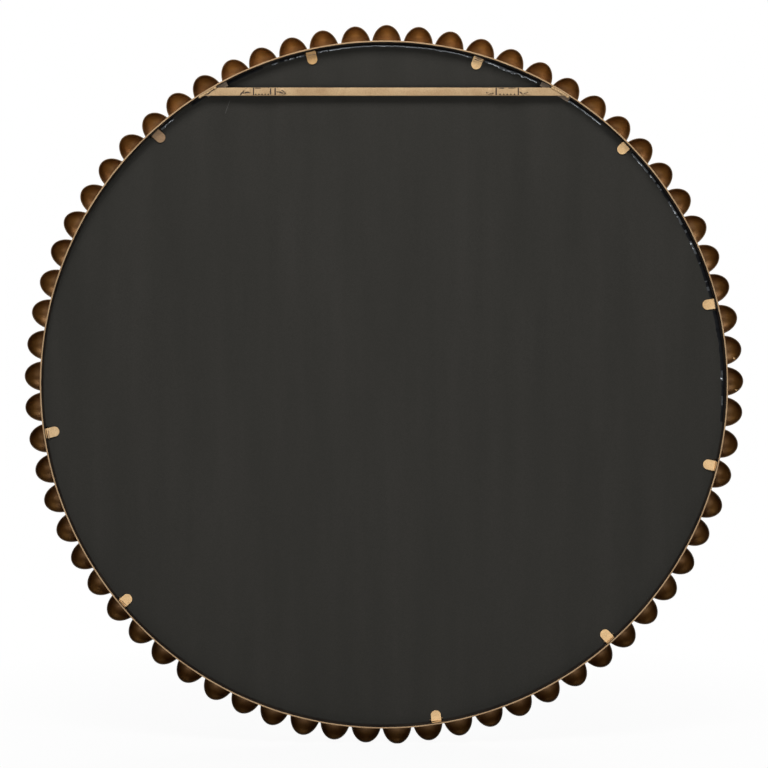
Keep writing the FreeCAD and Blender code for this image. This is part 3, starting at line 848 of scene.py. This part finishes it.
def make_hanger(side, notches, shade_marks, sheared, beneath):
    """Stamped strip with a raised middle and a toothed lower edge, with painted shade: dark ramps and lines where it
    steps, under its rivets and at its sheared end, and a dark sheet in the hollow behind the middle.
    """
    low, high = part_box(f"sawtooth_hanger_{side}")
    foot, crown = low.y + HANGER_THICKNESS, high.y
    left_end, right_end = high.x, low.x
    left_ramp, right_ramp = left_end - HANGER_END, right_end + HANGER_END
    # Places along the strip: across, depth of the back and how far the lower edge is cut
    stations = [(left_end, foot, 0.0), (left_ramp + HALF_RAMP, foot, 0.0), (left_ramp - HALF_RAMP, crown, 0.0)]
    for number in range(NOTCH_COUNT):
        pixel = notches[0] + (notches[1] - notches[0]) * number / (NOTCH_COUNT - 1)
        middle = photo_point(pixel, 0, 0).x
        stations.extend([
            (middle + HALF_NOTCH, crown, 0.0), (middle, crown, NOTCH_DEPTH), (middle - HALF_NOTCH, crown, 0.0),
        ])
    stations.extend([
        (right_ramp + HALF_RAMP, crown, 0.0), (right_ramp - HALF_RAMP, foot, 0.0), (right_end, foot, 0.0),
    ])
    plain, dark = 0, 1
    points, marks = [], []
    for index, (across, top, notch) in enumerate(stations):
        shear = END_SHEAR if sheared and index == 0 else 0.0
        corner = END_CORNER if index in (0, len(stations) - 1) and not shear else 0.0
        bottom, crest = low.z + notch + corner, high.z - corner
        points.extend([
            (across, top, bottom), (across - shear, top, crest),
            (across - shear, top - HANGER_THICKNESS, crest), (across, top - HANGER_THICKNESS, bottom),
        ])
    # The ramps are painted dark as painted shade.
    for one, other in zip(stations, stations[1:]):
        marks.extend([dark if one[1] != other[1] else plain] * HANGER_SIDES)
    marks.extend((plain, plain))
    strip = piece(
        f"hanger_{side}", points, tube_faces(len(stations), HANGER_SIDES), [bar_gold, crack_and_shade_brown],
        [f"sawtooth_hanger_{side}"], sharp=20.0, marks=marks,
    )
    # A dark sheet in the hollow behind the raised middle, as painted shade.
    left, right = left_ramp - HOLLOW_INSET, right_ramp + HOLLOW_INSET
    bottom, top = low.z + HOLLOW_BOTTOM, high.z - HOLLOW_TOP
    hollow = [(left, bottom), (right, bottom), (right, top), (left, top)]
    box = [(across, bar_high.y + depth, rise) for depth in HOLLOW_DEPTHS for across, rise in hollow]
    piece(f"hanger_shade_sheet_{side}", box, BOX_FACES, [crack_and_shade_brown])
    line_piece(f"hanger_shade_lines_{side}", [
        (lie_flat(pixels, crown if raised else foot), width * MM, seed)
        for seed, (raised, width, pixels) in enumerate(shade_marks)
    ], crack_and_shade_brown, ground=ground_of(*beneath, strip))


def make_rivets():
    """Low domed rivet heads."""
    points, faces = [], []
    low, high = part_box("hanger_rivets")
    middle = (low.z + high.z) / 2
    for across in RIVETS_ACROSS:
        spot = photo_point(across, 0, 0)
        first = len(points)
        for radius, rise in RIVET_RINGS:
            depth = high.y - (RIVET_HEIGHT - rise) * MM
            for step in range(RIVET_AROUND):
                turn = 2 * math.pi * step / RIVET_AROUND
                points.append((
                    spot.x + radius * MM * math.cos(turn), depth, middle + radius * MM * math.sin(turn),
                ))
        points.append((spot.x, high.y, middle))
        faces.extend(dome_faces(len(RIVET_RINGS), RIVET_AROUND, first))
    return piece("rivet_heads", points, faces, [bar_gold], ["hanger_rivets"], sharp=50.0)


def make_welds():
    """Rough weld beads where the bar's ends meet the hoop, in a lighter gold as painted light."""
    draw = random.Random(WELD_SEED)
    points, faces = [], []
    for way in (1, -1):
        for number in range(WELD_LUMPS):
            share = number / (WELD_LUMPS - 1)
            rise = bar_low.z - WELD_BELOW_BAR + (bar_high.z - bar_low.z + WELD_LONGER) * share
            reach = math.sqrt(RIM_INSIDE ** 2 - rise ** 2)
            inward = Vector((-way * reach, 0, -rise)).normalized()
            centre = Vector((way * reach, bar_high.y + WELD_ABOVE_BAR, rise)) + inward * WELD_INSET
            along = TO_WALL.cross(inward)
            long, wide, tall = (draw.uniform(least, most) * MM for least, most in WELD_RANGES)
            first = len(points)
            for ring in range(WELD_RINGS):
                lean = math.pi / 2 * ring / WELD_RINGS
                for step in range(WELD_AROUND):
                    turn = 2 * math.pi * step / WELD_AROUND
                    points.append(
                        centre + along * (long * math.cos(lean) * math.cos(turn))
                        + inward * (wide * math.cos(lean) * math.sin(turn)) + TO_WALL * (tall * math.sin(lean))
                    )
            points.append(centre + TO_WALL * tall)
            faces.extend(dome_faces(WELD_RINGS, WELD_AROUND, first))
    return piece("bar_welds", points, faces, [bright_gold_and_painted_light], sharp=70.0)


def make_feet():
    """Painted weld between the roots of the lower tabs and the hoop."""
    points, faces = [], []
    root = BOARD_BACK - FOOT_ROOT
    for number in FOOT_TABS:
        turn = math.pi - math.radians(TAB_ANGLES[number - 1])
        outward = Vector((math.cos(turn), 0, math.sin(turn)))
        along = Vector((-math.sin(turn), 0, math.cos(turn)))
        tab = [vertex.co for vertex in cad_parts[f"retaining_tab_{number:02d}"].data.vertices]
        fold = max(point.dot(outward) for point in tab)
        sides = [point.dot(along) for point in tab if point.dot(outward) > fold - FOOT_MEASURED]
        left, right = min(sides) + FOOT_INSET, max(sides) - FOOT_INSET
        top = max(point.y for point in tab) - FOOT_BELOW_TAB
        first = len(points)
        for near_depth, far_depth in ((root, root), (top, rim_high.y - FOOT_BELOW_HOOP)):
            for side in (left, right):
                points.append(outward * (fold + FOOT_FROM_TAB) + along * side + TO_WALL * near_depth)
            for side in (right, left):
                reach = math.sqrt((RIM_INSIDE + WALL_BITE) ** 2 - side ** 2)
                points.append(outward * reach + along * side + TO_WALL * far_depth)
        faces.extend(tuple(first + index for index in face) for face in BOX_FACES)
    return piece("tab_feet", points, faces, [tab_gold])


def dress(node, material):
    """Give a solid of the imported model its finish."""
    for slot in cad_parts[node].material_slots:
        slot.link = "OBJECT"
        slot.material = material


petals = make_petals()
make_hoop()
bar = make_bar()
make_bead()
welds = make_welds()
rivets = make_rivets()
make_feet()
make_hanger("left", LEFT_NOTCHES, LEFT_SHADE_LINES, sheared=True, beneath=(bar, rivets))
make_hanger("right", RIGHT_NOTCHES, RIGHT_SHADE_LINES, sheared=False, beneath=(bar, rivets))
line_piece("bar_cracks", [
    (lie_flat(pixels, bar_high.y), CRACK_WIDTH, CRACK_SEED + number) for number, pixels in enumerate(BAR_CRACKS)
], crack_and_shade_brown, ground=ground_of(bar, welds))
# Painted shade: darker bands and lines on the folds of tabs 3, 4, 6 and 7.
for kind, folds, finish in (("band", TAB_SHADE_BANDS, fold_shade_brown), ("crease", TAB_SHADE_CREASES, crack_and_shade_brown)):
    for number, (tab, width, pixels) in enumerate(folds):
        run = (lie_flat(pixels, BOARD_BACK), width * MM, FOLD_SEED + number)
        ground = ground_of(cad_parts[f"retaining_tab_{tab:02d}"])
        line_piece(f"tab_{kind}_{tab:02d}_{number}", [run], finish, f"tab_{tab:02d}", ground)
line_piece("petal_gold_spots", [
    (lie_flat(pixels, PETAL_BACK), width * MM, GOLD_SPOT_SEED + number)
    for number, (width, pixels) in enumerate(PETAL_GOLD_SPOTS)
], tab_gold, ground=ground_of(petals))
line_piece("board_scratch", [(lie_flat(SCRATCH, BOARD_BACK), SCRATCH_WIDTH, SCRATCH_SEED)], scratch_grey)
dress("mirror_glass", glass_silver)
dress("backing_board", board_paint)
dress("bar_seats", dull_steel)
dress("tab_roots", root_shade_paint)
# Tab 4 in tan, tab 5 darker as painted shade and tab 6 in the lighter gold.
odd_tabs = {4: tan_gold, 5: shaded_tab_gold, 6: bright_gold_and_painted_light}
for number in range(1, len(TAB_ANGLES) + 1):
    dress(f"retaining_tab_{number:02d}", odd_tabs.get(number, tab_gold))


# Floor, light and camera

def make_floor():
    """Pale floor that the camera sees as white, with the part's shadow left on it."""
    mesh = bpy.data.meshes.new("floor")
    corners = [(-1, -1), (1, -1), (1, 1), (-1, 1)]
    mesh.from_pydata([(x * FLOOR_HALF, y * FLOOR_HALF, cad_low.z) for x, y in corners], [], [(0, 1, 2, 3)])
    made, add, link, shader = nodes_of("pale_floor")
    pale = ramp(add, link, patches(add, link, 2.0), list(zip((0.3, 0.7), map(grey, FLOOR_GREYS))))
    link(pale, shader.inputs["Base Color"])
    shader.inputs["Roughness"].default_value = 0.9
    shader.inputs["Specular IOR Level"].default_value = 0.0
    rays = add("ShaderNodeLightPath").outputs
    seen = combined(add, link, "MAXIMUM", rays["Is Camera Ray"], rays["Is Glossy Ray"])
    away = length_of(add, link, own_place(add))
    white = span(add, link, away, *FLOOR_WHITE, *FLOOR_WHITE_PLACES)
    glow = add("ShaderNodeEmission", Strength=1.0)
    both = add("ShaderNodeMixShader")
    link(combined(add, link, "MULTIPLY", seen, white), both.inputs[0])
    link(shader.outputs[0], both.inputs[1])
    link(glow.outputs[0], both.inputs[2])
    link(both.outputs[0], made.node_tree.nodes["Material Output"].inputs["Surface"])
    mesh.materials.append(made)
    floor = bpy.data.objects.new("floor", mesh)
    bpy.context.scene.collection.objects.link(floor)


def make_world():
    """White surroundings for the camera, softer in the light they give and fading upwards on the wall's side."""
    world = bpy.data.worlds.new("studio")
    bpy.context.scene.world = world
    world.use_nodes = True
    add, link = tools_of(world.node_tree)
    background = world.node_tree.nodes["Background"]
    background.inputs["Color"].default_value = (1.0, 1.0, 1.0, 1.0)
    rays = add("ShaderNodeLightPath").outputs
    seen = combined(add, link, "MAXIMUM", rays["Is Camera Ray"], rays["Is Glossy Ray"])
    seen = combined(add, link, "MAXIMUM", seen, rays["Is Transmission Ray"])
    level = span(add, link, seen, WORLD_LIGHT, WORLD_SEEN, 0.0, 1.0)
    parts = add("ShaderNodeSeparateXYZ")
    link(add("ShaderNodeTexCoord").outputs["Generated"], parts.inputs[0])
    dim = span(add, link, parts.outputs["Z"], *FADE_LEVELS, *FADE_HEIGHTS)
    side = span(add, link, parts.outputs["Y"], 0.0, 1.0, *WALL_SIDE)
    room = add("ShaderNodeMix")
    by, one, other, result = NUMBER_MIX
    link(side, room.inputs[by])
    room.inputs[one].default_value = 1.0
    link(dim, room.inputs[other])
    clear = combined(add, link, "MAXIMUM", room.outputs[result], rays["Is Camera Ray"])
    link(combined(add, link, "MULTIPLY", level, clear), background.inputs["Strength"])


def aim(made, place, target):
    """Put a light or the camera at a place, looking at a target."""
    made.location = place
    made.rotation_mode = "QUATERNION"
    made.rotation_quaternion = (Vector(target) - Vector(place)).to_track_quat("-Z", "Y")


def make_light(name, place, target, width, height, power):
    """One soft rectangular lamp."""
    lamp = bpy.data.lights.new(name, "AREA")
    lamp.shape = "RECTANGLE"
    lamp.size, lamp.size_y, lamp.energy = width, height, power
    made = bpy.data.objects.new(name, lamp)
    bpy.context.scene.collection.objects.link(made)
    made.visible_camera = False
    aim(made, place, target)


def make_camera():
    """Camera a little above the axis behind the mirror, framed as the photograph."""
    camera = bpy.data.cameras.new("camera")
    camera.sensor_width = CAMERA_SENSOR
    camera.lens = CAMERA_LENS
    made = bpy.data.objects.new("camera", camera)
    bpy.context.scene.collection.objects.link(made)
    away = Vector((0, CAMERA_DISTANCE * math.cos(CAMERA_ABOVE), CAMERA_DISTANCE * math.sin(CAMERA_ABOVE)))
    aim(made, CAMERA_TARGET + away, CAMERA_TARGET)
    bpy.context.scene.camera = made


make_floor()
make_world()
make_light("key", (0.1, 1.4, 2.08), target=(0, 0, 0), width=1.3, height=0.9, power=60.0)
make_light("floor_bounce", (0.0, 1.5, -0.40), target=(0, 0, 0.05), width=1.1, height=0.13, power=6.5)
make_light("front", (-1.2, -2.2, 1.5), target=(0, 0, 0), width=1.2, height=0.9, power=30.0)
make_camera()
bpy.context.scene.view_settings.view_transform = "Standard"
